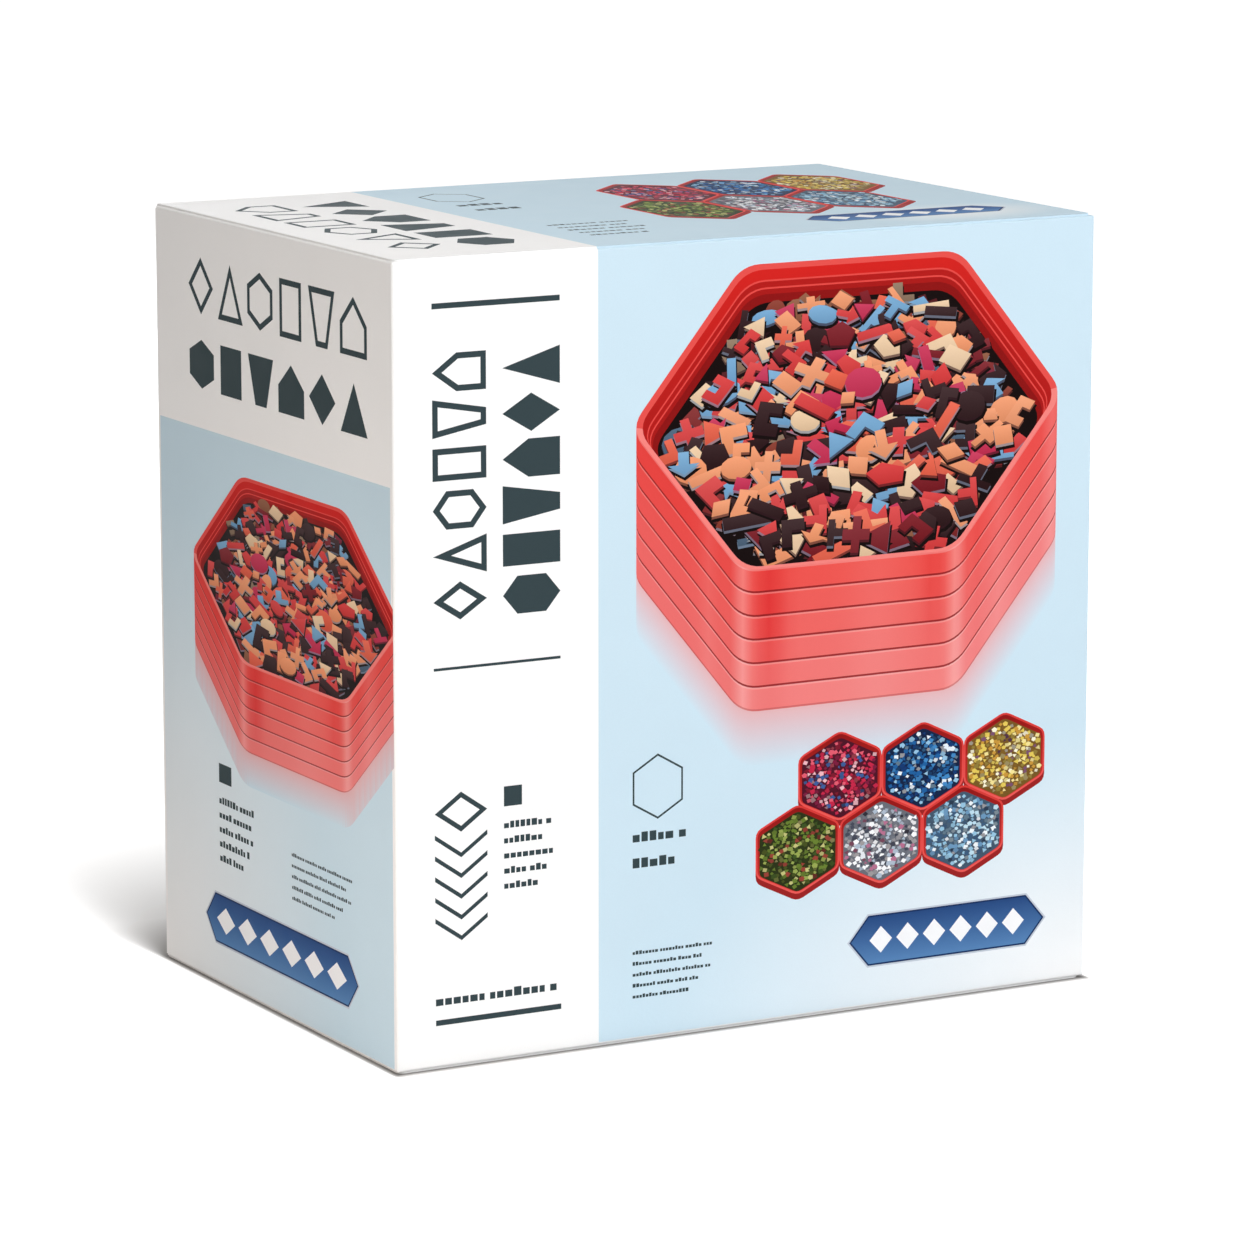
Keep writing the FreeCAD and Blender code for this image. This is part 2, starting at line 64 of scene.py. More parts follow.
# Places on the panels, as the carton's source has them
BAND_WIDTH = 56.0
BAND_MARGIN = 10.6
FIELD_MARGIN = 9.6
FIELD_WIDTH = WIDTH - BAND_WIDTH
FIELD_LINES = BAND_WIDTH + FIELD_MARGIN
OUTLINE_ROW = 14.6
ROW_GAP = 4.4
RULE_LENGTH = BAND_WIDTH - 2 * BAND_MARGIN
RULE = 1.4
THIN_RULE = 0.7
HIGH_RULE = HEIGHT - 12.4
LOW_RULE = 11.0
BOLD_BASE = BAND_MARGIN + OUTLINE_ROW + ROW_GAP
BOLD_ROW = RULE_LENGTH - OUTLINE_ROW - ROW_GAP
TITLE_FOOT = HEIGHT - 88.4
TITLE_LENGTH = 67.0
LID_MARGIN = 16.0
SQUARE_MARK = 5.0

SIDE_FIELD_HEIGHT = 145.0
SIDE_CLEAR = FOLD + 1.0
SIDE_PICTURE_START = 19.7
SIDE_PICTURE_OVERRUN = 4.0
SIDE_ROWS_START = 20.4
SIDE_ROWS_LENGTH = DEPTH - SIDE_ROWS_START - BAND_MARGIN
SIDE_BOLD_ROW = 12.6
SIDE_LINES = 34.8
SIDE_DISH_HEIGHT = 71.0
SIDE_DISH_FOOT = SIDE_FIELD_HEIGHT - 9.0 - SIDE_DISH_HEIGHT
SIDE_OUTLINE_BASE = HEIGHT - 11.0 - OUTLINE_ROW
SIDE_BOLD_BASE = SIDE_OUTLINE_BASE - 6.5 - SIDE_BOLD_ROW

# The pictures' sizes, in millimetres
DISH_HALF_WIDTH = 63.0
DISH_TILT = 0.7
DISH_COUNT = 6
DISH_WALL = 6.0
DISH_LIP = 1.8
DISH_SINK = 6.0
DISH_CORNER = 5.0
DISH_HEIGHT = 2 * DISH_HALF_WIDTH * DISH_TILT * math.sin(SIXTH) + DISH_COUNT * DISH_WALL
DISH_IMAGE = 14.0
CHIP_RADIUS = 5.2
FRONT_CHIPS = 560
SIDE_CHIPS = 460
CELL_WIDTH = 24.6
CELL_HEIGHT = 23.6
CELL_FLECKS = 230
CELLS_LENGTH = CELL_WIDTH * 3.5
CELLS_DEPTH = 1.75 * CELL_HEIGHT
CELLS_START = WIDTH - 13.0 - CELLS_LENGTH
RIBBON_MARGIN = 12.0
RIBBON_LENGTH = 60.0
RIBBON_FOOT = 10.6

# Small lines: block height, pitch and number of lines
FINE_LINES = (0.95, 2.8, 5)
SIGN_LINES = (1.7, 3.8, 5)
SIDE_SIGN_LINES = (1.8, 3.8, 5)
BADGE_LINES = (2.5, 6.6, 2)
LID_LINES = (1.8, 5.6, 5)
LID_BADGE_LINES = (3.6, 10.5, 2)

# Inks as they look in plain daylight, 0 to 255
WHITE = (255, 255, 255)
BOARD_WHITE = (254, 254, 253)
PALE_BLUE = (207, 230, 242)
DARK_GREY = (56, 70, 74)
NAVY = (38, 70, 124)
NAVY_LIGHT = (92, 138, 188)
RIBBON_RIM = (196, 206, 218)
RIBBON_LINE = (30, 52, 92)
LOZENGE_WHITE = (250, 251, 252)
PINK = (233, 178, 180)
RED_RIM = (240, 106, 100)
RED_INSIDE = (212, 36, 32)
RED_DEEP = (140, 20, 20)
RED_FACE = (236, 92, 88)
RED_FACE_DARK = (216, 56, 52)
SEAM = (122, 26, 28)
WALL_FRONT = ((235, 80, 74), (242, 134, 132))
WALL_LEFT = ((226, 62, 58), (236, 116, 114))
WALL_RIGHT = ((231, 72, 68), (241, 134, 134))
WALL_GLOSS = (255, 214, 210)
WALL_DEEP_LEFT = (214, 30, 32)
WALL_DEEP_RIGHT = (220, 44, 44)
LIP_LIGHT = (255, 226, 222)
RIM_LIGHT = (255, 196, 190)
PILE_SHADE = (18, 8, 8)
CHIP_FOOT = (20, 8, 12)
CHIP_EDGE_GREY = (120, 134, 154)
CHIP_EDGE_DARK = (44, 22, 28)
CHIP_INKS = [
    ((244, 152, 104), 22), ((216, 56, 56), 20), ((198, 40, 76), 10), ((38, 16, 18), 18),
    ((112, 166, 208), 10), ((240, 204, 162), 10), ((118, 20, 28), 8), ((232, 90, 64), 8),
]
# Five inks for each cell: green, white, light blue, red, blue and yellow
CELL_INKS = [
    [(104, 128, 50), (152, 168, 84), (62, 84, 36), (198, 196, 126), (150, 66, 54)],
    [(252, 252, 254), (230, 234, 240), (176, 190, 206), (70, 74, 88), (184, 112, 142)],
    [(150, 196, 222), (192, 222, 236), (108, 152, 188), (240, 246, 250), (62, 92, 124)],
    [(196, 40, 72), (226, 92, 112), (124, 30, 62), (238, 184, 192), (62, 92, 152)],
    [(34, 96, 158), (66, 136, 196), (22, 58, 114), (150, 196, 226), (232, 242, 250)],
    [(228, 202, 92), (242, 226, 152), (202, 152, 62), (250, 245, 216), (122, 82, 112)],
]

# Unit figures for the two rows, each in a cell one wide and one high
FIGURES = [
    [(0.5, 0), (1, 0.5), (0.5, 1), (0, 0.5)],
    [(0, 0), (1, 0), (0.5, 1)],
    [(0.5, 0), (1, 0.25), (1, 0.75), (0.5, 1), (0, 0.75), (0, 0.25)],
    [(0.08, 0), (0.92, 0), (0.92, 1), (0.08, 1)],
    [(0, 1), (0.28, 0), (0.72, 0), (1, 1)],
    [(0, 0), (1, 0), (1, 0.55), (0.5, 1), (0, 0.55)],
]


# Plane geometry

def mixed(first, last, share):
    """A colour part of the way from first to last."""
    share = min(max(share, 0.0), 1.0)
    return tuple(a + (b - a) * share for a, b in zip(first, last))


def fade(first, last, start, end):
    """A tone that runs evenly from one colour at start to another at end."""
    run_u, run_v = end[0] - start[0], end[1] - start[1]
    size = run_u * run_u + run_v * run_v
    return lambda u, v: mixed(first, last, ((u - start[0]) * run_u + (v - start[1]) * run_v) / size)


def rectangle(u, v, length, height):
    return [(u, v), (u + length, v), (u + length, v + height), (u, v + height)]


def ring(sides, turn=0.0):
    """The corners of a regular figure of unit radius."""
    angles = [turn + math.tau * k / sides for k in range(sides)]
    return [(math.cos(angle), math.sin(angle)) for angle in angles]


def hexagon_reach(angle):
    """How far a six-sided figure of unit radius, with a corner at zero, reaches at an angle."""
    return math.cos(TWELFTH) / math.cos(angle % SIXTH - TWELFTH)


def placed(points, centre, scale_u, scale_v):
    return [(centre[0] + u * scale_u, centre[1] + v * scale_v) for u, v in points]


def inset(points, distance):
    """The convex outline that runs inside points, listed anticlockwise, at an even distance."""
    inner = []
    for before, here, after in zip(points[-1:] + points[:-1], points, points[1:] + points[:1]):
        first = Vector((here[0] - before[0], here[1] - before[1])).normalized()
        second = Vector((after[0] - here[0], after[1] - here[1])).normalized()
        first_in, second_in = Vector((-first.y, first.x)), Vector((-second.y, second.x))
        shift = (first_in + second_in) * distance / (1 + first_in.dot(second_in))
        inner.append((here[0] + shift.x, here[1] + shift.y))
    return inner


def rounded(points, radius, steps=4):
    """A convex outline with each corner turned by a short curve."""
    curved = []
    for before, here, after in zip(points[-1:] + points[:-1], points, points[1:] + points[:1]):
        corner, back, ahead = Vector(here), Vector(before), Vector(after)
        start = corner + (back - corner).normalized() * radius
        end = corner + (ahead - corner).normalized() * radius
        for step in range(steps + 1):
            t = step / steps
            point = start * (1 - t) ** 2 + corner * 2 * t * (1 - t) + end * t * t
            curved.append((point.x, point.y))
    return curved


def area_of(points):
    """An outline's area in square millimetres, below zero where it runs clockwise."""
    return sum(a[0] * b[1] - b[0] * a[1] for a, b in zip(points, points[1:] + points[:1])) / 2


def anticlockwise(points):
    return points if area_of(points) > 0 else points[::-1]


# The printed sheets: shapes laid one over another, then cut along every outline into one flat mesh

class Sheet:
    """A panel's print. Each shape has an outline, a tone and a stock: ink, field or board."""

    def __init__(self, origin, along, up, flat):
        self.origin, self.along, self.up = Vector(origin), Vector(along), Vector(up)
        self.out = self.along.cross(self.up)
        self.shapes, self.flat = [], flat
        u0, v0, u1, v1 = flat
        self.lay(rectangle(u0, v0, u1 - u0, v1 - v0), BOARD_WHITE, "board")

    def lay(self, points, tone, stock="ink"):
        self.shapes.append((anticlockwise(list(points)), tone, stock))

    def clipped(self, points):
        """The part of an outline that lies on the panel's flat stretch."""
        u0, v0, u1, v1 = self.flat
        for axis, limit, side in ((0, u0, 1), (0, u1, -1), (1, v0, 1), (1, v1, -1)):
            kept = []
            for here, after in zip(points, points[1:] + points[:1]):
                depth, depth_after = side * (here[axis] - limit), side * (after[axis] - limit)
                if depth >= 0:
                    kept.append(here)
                if depth * depth_after < 0:
                    share = depth / (depth - depth_after)
                    kept.append(tuple(a + (b - a) * share for a, b in zip(here, after)))
            points = kept
        return points

    def place(self, u, v):
        return self.origin + (self.along * u + self.up * v + self.out * PRINT_LIFT) * MM

    def mesh(self, name, stocks):
        """One flat mesh of every shape, each triangle in the ink of the topmost shape over it."""
        shapes = [(self.clipped(points), tone, stock) for points, tone, stock in self.shapes]
        shapes = [shape for shape in shapes if abs(area_of(shape[0])) > SMALLEST_SHAPE]
        flat, triangles, tops = seen_triangles([points for points, _, _ in shapes])
        mesh = bpy.data.meshes.new(name)
        mesh.from_pydata([self.place(p.x, p.y) for p in flat], [], triangles)
        inks = mesh.color_attributes.new("ink", "FLOAT_COLOR", "CORNER")
        for polygon, top in zip(mesh.polygons, tops):
            _, tone, stock = shapes[top]
            polygon.material_index = stocks.index(stock)
            for loop in polygon.loop_indices:
                point = flat[mesh.loops[loop].vertex_index]
                colour = tone(point.x, point.y) if callable(tone) else tone
                inks.data[loop].color = (*daylight(colour), 1.0)
        return mesh


def seen_triangles(outlines):
    """Triangles of the panel, each with the topmost outline over it, cut only along lines that show."""
    corners, faces = [], []
    for points in outlines:
        faces.append(list(range(len(corners), len(corners) + len(points))))
        corners += [Vector(point) for point in points]
    flat, _, triangles, _, _, covers = geometry.delaunay_2d_cdt(corners, [], faces, 1, 1e-4)
    tops = [max(cover) for cover in covers]
    sides = {}
    for triangle, top in zip(triangles, tops):
        for a, b in zip(triangle, triangle[1:] + triangle[:1]):
            sides.setdefault((min(a, b), max(a, b)), []).append(top)
    joined = {}
    for (a, b), found in sides.items():
        if len(found) == 1 or found[0] != found[1]:
            joined.setdefault(a, set()).add(b)
            joined.setdefault(b, set()).add(a)
    for here in list(joined):
        if len(joined[here]) == 2:
            a, b = joined[here]
            run, bend = flat[b] - flat[a], flat[here] - flat[a]
            if b not in joined[a] and abs(run.x * bend.y - run.y * bend.x) < 1e-4 * run.length:
                del joined[here]
                joined[a] = joined[a] - {here} | {b}
                joined[b] = joined[b] - {here} | {a}
    order = {old: new for new, old in enumerate(sorted(joined))}
    lines = [(order[a], order[b]) for a, ends in joined.items() for b in ends if a < b]
    kept = [flat[old] for old in sorted(joined)]
    lean, _, pieces, _, _, _ = geometry.delaunay_2d_cdt(kept, lines, [], 0, 1e-5)
    finder = BVHTree.FromPolygons([(p.x, p.y, 0) for p in flat], triangles)
    found = []
    for piece in pieces:
        middle = sum((lean[k] for k in piece), Vector((0, 0))) / len(piece)
        under = finder.find_nearest((middle.x, middle.y, 0))[2]
        found.append(tops[under])
    return lean, pieces, found


def daylight(colour):
    """A 0 to 255 display colour as linear light."""
    shares = [c / 255 for c in colour]
    return tuple(s / 12.92 if s <= 0.04045 else ((s + 0.055) / 1.055) ** 2.4 for s in shares)


# Motifs

def figure_row(sheet, start, length, base, height, outlined, climbs, stroke=1.5, fill=0.84):
    """A row of figures, outlined or solid, running up the panel or across it."""
    pitch = length / len(FIGURES)
    first = 0 if outlined else 2
    for place in range(len(FIGURES)):
        points = []
        for along, across in FIGURES[(place + first) % len(FIGURES)]:
            run = start + pitch * (place + along * fill)
            points.append((base + height * (1 - across), run) if climbs else (run, base + height * across))
        points = anticlockwise(points)
        sheet.lay(points, DARK_GREY)
        if outlined:
            sheet.lay(inset(points, stroke), BOARD_WHITE, "board")


def dotted_line(sheet, u, v, length, height, rng):
    """Small blocks in groups along one line, where a box has small wording."""
    end = u + length
    while u < end - height:
        for _ in range(rng.randint(4, 9)):
            block = height * rng.uniform(0.62, 0.92)
            if u + block > end:
                break
            rise = height * rng.choice((0.74, 0.74, 1.0))
            sheet.lay(rectangle(u, v, block, rise), DARK_GREY)
            u += block + height * 0.2
        u += height * 0.45


def bar_lines(sheet, u, top, length, kind, seed):
    """Lines of small blocks of uneven length, hanging from top."""
    height, pitch, lines = kind
    rng = random.Random(seed)
    shares = (1.0, 0.9, 1.0, 0.84, 0.72)
    for line in range(lines):
        foot = top - height - pitch * line
        dotted_line(sheet, u, foot, length * shares[line % len(shares)], height, rng)


def stacked_sign(sheet, u, v):
    """A lozenge over nested chevrons, the plain sign for things that stack."""
    width, lozenge, pitch, count, stroke = 14.4, 10.0, 5.2, 6, 1.2
    middle, rise = u + width / 2, lozenge / 2
    top = v + pitch * (count - 1) + rise
    outline = [(u, top), (middle, top - rise), (u + width, top), (middle, top + rise)]
    sheet.lay(outline, DARK_GREY)
    sheet.lay(inset(outline, stroke), BOARD_WHITE, "board")
    for level in range(1, count):
        edge = top - pitch * level
        left_arm = [(u, edge), (u, edge - stroke), (middle, edge - rise - stroke), (middle, edge - rise)]
        for arm in (left_arm, [(2 * middle - a, b) for a, b in left_arm]):
            sheet.lay(arm, DARK_GREY)


def lozenge_ribbon(sheet, u, v, length):
    """A dark blue ribbon with pointed ends, a light edge and a row of white lozenges."""
    height, point, edge, count, fill, lozenge = 14.0, 6.0, 0.45, 6, 0.84, 7.0
    middle_v = v + height / 2
    ends = (u + point, u + length - point)
    ribbon = [(u, middle_v), (ends[0], v), (ends[1], v),
              (u + length, middle_v), (ends[1], v + height), (ends[0], v + height)]
    sheet.lay(ribbon, RIBBON_RIM)
    sheet.lay(inset(ribbon, edge), RIBBON_LINE)
    sheet.lay(inset(ribbon, 2 * edge), fade(NAVY_LIGHT, NAVY, (u, v), (u, v + height)))
    pitch = (ends[1] - ends[0]) / count
    for place in range(count):
        middle = (ends[0] + pitch * (place + 0.5), middle_v)
        sheet.lay(placed(ring(4), middle, pitch * fill / 2, lozenge / 2), LOZENGE_WHITE)


# Outlines of the cut chips, about one in radius
CHIP_SHAPES = [
    ring(3), ring(4, math.pi / 4), ring(5), ring(12),
    [(0, 1.1), (-0.62, 0.1), (0, -0.9), (0.62, 0.1)],
    [(-1.1, -0.4), (1.1, -0.4), (1.1, 0.4), (-1.1, 0.4)],
    [(-0.3, -1), (0.3, -1), (0.3, -0.3), (1, -0.3), (1, 0.3), (0.3, 0.3),
     (0.3, 1), (-0.3, 1), (-0.3, 0.3), (-1, 0.3), (-1, -0.3), (-0.3, -0.3)],
    [(-0.8, -0.8), (0.8, -0.8), (0.8, -0.1), (-0.1, -0.1), (-0.1, 0.8), (-0.8, 0.8)],
    [(-0.3, -1), (0.3, -1), (0.3, 0.2), (1, 0.2), (1, 0.8), (-1, 0.8), (-1, 0.2), (-0.3, 0.2)],
    [(-0.3, -1), (0.3, -1), (0.3, 0.1), (0.9, 0.1), (0, 1), (-0.9, 0.1), (-0.3, 0.1)],
    [(-0.9, -0.7), (-0.3, -0.7), (-0.3, 0), (0.3, 0), (0.3, -0.7), (0.9, -0.7), (0.9, 0.7), (-0.9, 0.7)],
]


def chip_outline(rng, radius):
    """One of the cut chips, turned and lying at some tilt."""
    turn, tilt = rng.uniform(0, math.tau), rng.uniform(0.6, 1.0)
    cosine, sine = math.cos(turn), math.sin(turn)
    return [(radius * (a * cosine - b * tilt * sine), radius * 0.74 * (a * sine + b * tilt * cosine))
            for a, b in rng.choice(CHIP_SHAPES)]


def pile_of_chips(rng, count, reach_u, reach_v, radius):
    """Chips scattered evenly over a six-sided dish, far ones first, with their colours."""
    inks = [ink for ink, _ in CHIP_INKS]
    weights = [weight for _, weight in CHIP_INKS]
    chips = []
    for number in range(count):
        turn = GOLDEN_ANGLE * number
        reach = hexagon_reach(turn) * math.sqrt((number + 0.5) / count)
        u = reach_u * reach * math.cos(turn) + rng.uniform(-2, 2)
        v = reach_v * reach * math.sin(turn) + rng.uniform(-1.4, 1.4)
        near = 1.0 - 0.2 * v / reach_v
        ink = mixed(rng.choices(inks, weights)[0], WHITE, rng.uniform(0.0, 0.08))
        outline = chip_outline(rng, radius * near * rng.uniform(0.75, 1.15))
        chips.append((v + rng.uniform(-9, 9), (u, v), outline, ink, rng.random()))
    return sorted(chips, key=lambda chip: -chip[0])


def lay_chip(sheet, to_panel, centre, outline, ink, luck):
    """A chip with the dark gap under it, its cut edge and its face."""
    def shifted(drop_u, drop_v, grow=1.0):
        return [to_panel((centre[0] + a * grow + drop_u, centre[1] + b * grow + drop_v)) for a, b in outline]

    sheet.lay(shifted(0.25, -1.25, 1.08), PILE_SHADE)
    edge = mixed(ink, CHIP_EDGE_GREY, 0.7) if luck < 0.5 else mixed(ink, CHIP_EDGE_DARK, 0.6)
    sheet.lay(shifted(0.0, -0.65), edge)
    reach = max(b for _, b in outline)
    head, foot = [to_panel((centre[0], centre[1] + rise)) for rise in (reach, -reach)]
    sheet.lay(shifted(0.0, 0.0), fade(mixed(ink, WHITE, 0.08), mixed(ink, CHIP_FOOT, 0.12), head, foot))


def wall_tone(half_width, stack):
    """The red of the near walls: paler towards the foot, with streaks of gloss beside the corners."""
    bend = half_width / 2
    # Middle, width and strength of each streak
    streaks = ((-bend, 2.4, 0.34), (bend, 2.4, 0.38), (-bend - 9, 3.0, 0.12), (bend + 13, 4.0, 0.16),
               (half_width - 3, 2.0, 0.22), (8, 9.0, 0.1))

    def tone(x, drop):
        share = drop / stack
        head, foot = WALL_FRONT if abs(x) < bend else WALL_LEFT if x < 0 else WALL_RIGHT
        colour = mixed(head, foot, share)
        for middle, width, strength in streaks:
            colour = mixed(colour, WALL_GLOSS, strength * math.exp(-((x - middle) / width) ** 2))
        deep = math.exp(-((x + bend - 8) / 4.5) ** 2 - ((share - 0.3) / 0.42) ** 2)
        colour = mixed(colour, WALL_DEEP_LEFT, 0.62 * deep)
        deep = math.exp(-((x - bend + 7) / 3.5) ** 2 - ((share - 0.2) / 0.35) ** 2)
        return mixed(colour, WALL_DEEP_RIGHT, 0.4 * deep)

    return tone


def wall_piece(a, b, high, low):
    """The part of a wall under the rim's edge from a to b, between two depths."""
    return [(a[0], a[1] - high), (b[0], b[1] - high), (b[0], b[1] - low), (a[0], a[1] - low)]


# Down one dish's wall: from, to, and the share of light, above zero, or of seam, below it
WALL_BANDS = ((0.0, 0.45, 0.3), (0.45, DISH_WALL - 0.5, 0.0), (DISH_WALL - 0.5, DISH_WALL, -0.75))
LAST_SEAM = -0.25


def dish_stack(sheet, centre_u, foot_v, scale_u, scale_v, chips):
    """Six-sided red dishes in a stack, the top one full of cut chips of colour."""
    half_width, tilt = DISH_HALF_WIDTH, DISH_TILT
    stack = DISH_COUNT * DISH_WALL
    level = stack + half_width * tilt * math.sin(SIXTH)

    def to_panel(point):
        return (centre_u + scale_u * point[0], foot_v + scale_v * point[1])

    def hexagon(reach, drop):
        corners = placed(ring(6), (0, level - drop), reach, reach * tilt)
        return rounded(corners, DISH_CORNER, 6)

    def lay(points, tone):
        sheet.lay([to_panel(point) for point in points], tone)

    # The near half of the rim, cut into steps of about three millimetres
    rim = hexagon(half_width, 0)
    step = min(range(len(rim)), key=lambda k: rim[k][0])
    last = max(range(len(rim)), key=lambda k: rim[k][0])
    near = [rim[step]]
    while step != last:
        before = rim[step]
        step = (step + 1) % len(rim)
        pieces = max(1, round((rim[step][0] - before[0]) / 3.0))
        near += [mixed(before, rim[step], (k + 1) / pieces) for k in range(pieces)]

    # The stack's faint image in the glossy ground
    for a, b in zip(near, near[1:]):
        run = Vector((b[0] - a[0], b[1] - a[1])).normalized()
        fall = DISH_IMAGE * run.x
        foot = ((a[0] + b[0]) / 2, (a[1] + b[1]) / 2 - stack)
        end = to_panel((foot[0] + run.y * fall, foot[1] - run.x * fall))
        lay(wall_piece(a, b, stack, stack + DISH_IMAGE),
            fade(mixed(PINK, PALE_BLUE, 0.1), PALE_BLUE, to_panel(foot), end))

    # The inside of the top dish, its pile and its chips
    inside = hexagon(half_width - DISH_LIP, DISH_LIP * 0.2)
    lay(inside, fade(RED_INSIDE, mixed(RED_INSIDE, RED_DEEP, 0.5),
                     to_panel((0, level + half_width * 0.6)), to_panel((0, level))))
    for drop in (2.2, 3.6):
        ridge = half_width - DISH_LIP - drop * 0.55
        lay(hexagon(ridge, drop), mixed(RED_INSIDE, RED_RIM, 0.55))
        lay(hexagon(ridge - 0.3, drop + 0.25), mixed(RED_INSIDE, RED_DEEP, 0.25 + drop * 0.1))
    lay(hexagon(half_width - DISH_SINK + 1.4, DISH_SINK - 1.2), RED_DEEP)
    lay(hexagon(half_width - DISH_SINK, DISH_SINK), PILE_SHADE)
    rng = random.Random(11)
    reach = half_width - DISH_SINK - 5.0
    for layer, share in ((0.45, 0.45), (0.0, 0.55)):
        pile = pile_of_chips(rng, round(chips * share), reach, reach * tilt, CHIP_RADIUS)
        for _, centre, outline, ink, luck in pile:
            dome = 3.0 * (1 - (centre[0] / reach) ** 2) - 0.4
            spot = (centre[0], level - DISH_SINK + centre[1] + dome)
            lay_chip(sheet, to_panel, spot, outline, mixed(ink, PILE_SHADE, layer), luck)

    # The near rim and the walls stand in front of the pile
    for k, (a, b) in enumerate(zip(rim, rim[1:] + rim[:1])):
        inner_a, inner_b = inside[k], inside[(k + 1) % len(inside)]
        facing = mixed(RED_RIM, RIM_LIGHT, 0.3) if a[1] < level else mixed(RED_RIM, RED_INSIDE, 0.35)
        lay([a, b, inner_b, inner_a], facing)
    tone = wall_tone(half_width, stack)
    for a, b in zip(near, near[1:]):
        if b[0] - a[0] < 0.01:
            continue
        start, end = to_panel((a[0], 0)), (to_panel((b[0], 0))[0], foot_v)
        for dish in range(DISH_COUNT):
            for high, low, light in WALL_BANDS:
                drops = (dish * DISH_WALL + high, dish * DISH_WALL + low)
                if dish == DISH_COUNT - 1 and light < 0:
                    light = LAST_SEAM
                shade = LIP_LIGHT if light > 0 else SEAM
                colours = [mixed(tone(x, sum(drops) / 2), shade, abs(light)) for x in (a[0], b[0])]
                lay(wall_piece(a, b, *drops), fade(*colours, start, end))


def cell_rows(sheet, u, v, stretch):
    """Six cells in two staggered rows of three, each full of small chips in its own colours."""
    rng = random.Random(29)
    half_width, half_height = CELL_WIDTH / 2 / math.cos(TWELFTH), CELL_HEIGHT * stretch / 2
    for cell in (3, 4, 5, 0, 1, 2):
        inks = CELL_INKS[cell]
        row, column = divmod(cell, 3)
        middle = (u + CELL_WIDTH * (column + 0.5 + 0.5 * row),
                  v + CELL_HEIGHT * stretch * (0.5 + 0.75 * row))
        rim = rounded(placed(ring(6, TWELFTH), middle, half_width, half_height), 1.8, 3)
        foot, head = (middle[0], middle[1] - half_height), (middle[0], middle[1] + half_height)
        sheet.lay([(a, b - 1.5 * stretch) for a, b in rim], mixed(SEAM, RED_FACE_DARK, 0.35))
        sheet.lay(rim, fade(RED_FACE, RED_FACE_DARK, foot, head))
        sheet.lay(inset(rim, 0.55), fade(RED_FACE_DARK, RED_DEEP, foot, head))
        bed = inset(rim, 1.15)
        sheet.lay([(a, b - 0.5 * stretch) for a, b in bed], mixed(inks[2], PILE_SHADE, 0.45))
        bits = []
        for number in range(CELL_FLECKS):
            turn = GOLDEN_ANGLE * number
            reach = hexagon_reach(turn - TWELFTH) * math.sqrt((number + 0.5) / CELL_FLECKS)
            spot = (middle[0] + reach * (half_width - 2.1) * math.cos(turn) + rng.uniform(-0.3, 0.3),
                    middle[1] + reach * (half_height - 2.1 * stretch) * math.sin(turn) - 0.4 * stretch)
            sides, turned = rng.choice((3, 4, 4, 5)), rng.uniform(0, math.tau)
            size = rng.uniform(0.55, 1.0)
            bits.append((spot[1], placed(ring(sides, turned), spot, size, size * 0.8 * stretch)))
        for _, points in sorted(bits, key=lambda bit: -bit[0]):
            ink = mixed(rng.choices(inks, (6, 4, 4, 3, 2))[0], PILE_SHADE, rng.choice((0.0, 0.0, 0.1, 0.4)))
            sheet.lay(points, ink)


def badge(sheet, u, middle, reach, stroke):
    """A six-sided outline, with its left edge at u."""
    half_width = 7.15
    outline = placed(ring(6, TWELFTH), (u + half_width, middle), half_width / math.cos(TWELFTH), reach)
    sheet.lay(outline, DARK_GREY)
    sheet.lay(inset(outline, stroke), PALE_BLUE, "field")


def title_rows(sheet, start, length):
    """The band's two rows of figures, the outlined one and the solid one, running up the panel."""
    figure_row(sheet, start, length, BAND_MARGIN, OUTLINE_ROW, True, True)
    figure_row(sheet, start, length, BOLD_BASE, BOLD_ROW, False, True)


# Panels

def front_sheet():
    """The front panel's print: a white band on the left and a pale blue field with its pictures."""
    flat = (FOLD, PANEL_FOOT, WIDTH - FOLD, PANEL_TOP)
    sheet = Sheet((LOW.x, LOW.y, 0), (1, 0, 0), (0, 0, 1), flat)
    sheet.lay(rectangle(BAND_WIDTH, 0, FIELD_WIDTH, HEIGHT), PALE_BLUE, "field")
    dish_stack(sheet, BAND_WIDTH + FIELD_WIDTH / 2, HEIGHT - 7.0 - DISH_HEIGHT, 1.0, 1.0, FRONT_CHIPS)
    cell_rows(sheet, CELLS_START, 32.0, 1.0)
    lozenge_ribbon(sheet, WIDTH - RIBBON_MARGIN - RIBBON_LENGTH, RIBBON_FOOT, RIBBON_LENGTH)

    badge(sheet, FIELD_LINES, 64.5, 8.3, 0.5)
    bar_lines(sheet, FIELD_LINES, 53.4, 16.0, BADGE_LINES, 3)
    bar_lines(sheet, FIELD_LINES, 23.2, 23.0, FINE_LINES, 5)

    title_rows(sheet, TITLE_FOOT, TITLE_LENGTH)
    for foot, thickness in ((HIGH_RULE, RULE), (HEIGHT - 100.6, THIN_RULE), (LOW_RULE, RULE)):
        sheet.lay(rectangle(BAND_MARGIN, foot, RULE_LENGTH, thickness), DARK_GREY)
    dotted_line(sheet, BAND_MARGIN, 16.0, RULE_LENGTH, 2.3, random.Random(7))
    stacked_sign(sheet, BAND_MARGIN, 33.0)
    sheet.lay(rectangle(BOLD_BASE, 64.0, SQUARE_MARK, SQUARE_MARK), DARK_GREY)
    bar_lines(sheet, BOLD_BASE, 60.2, 14.6, SIGN_LINES, 9)
    return sheet


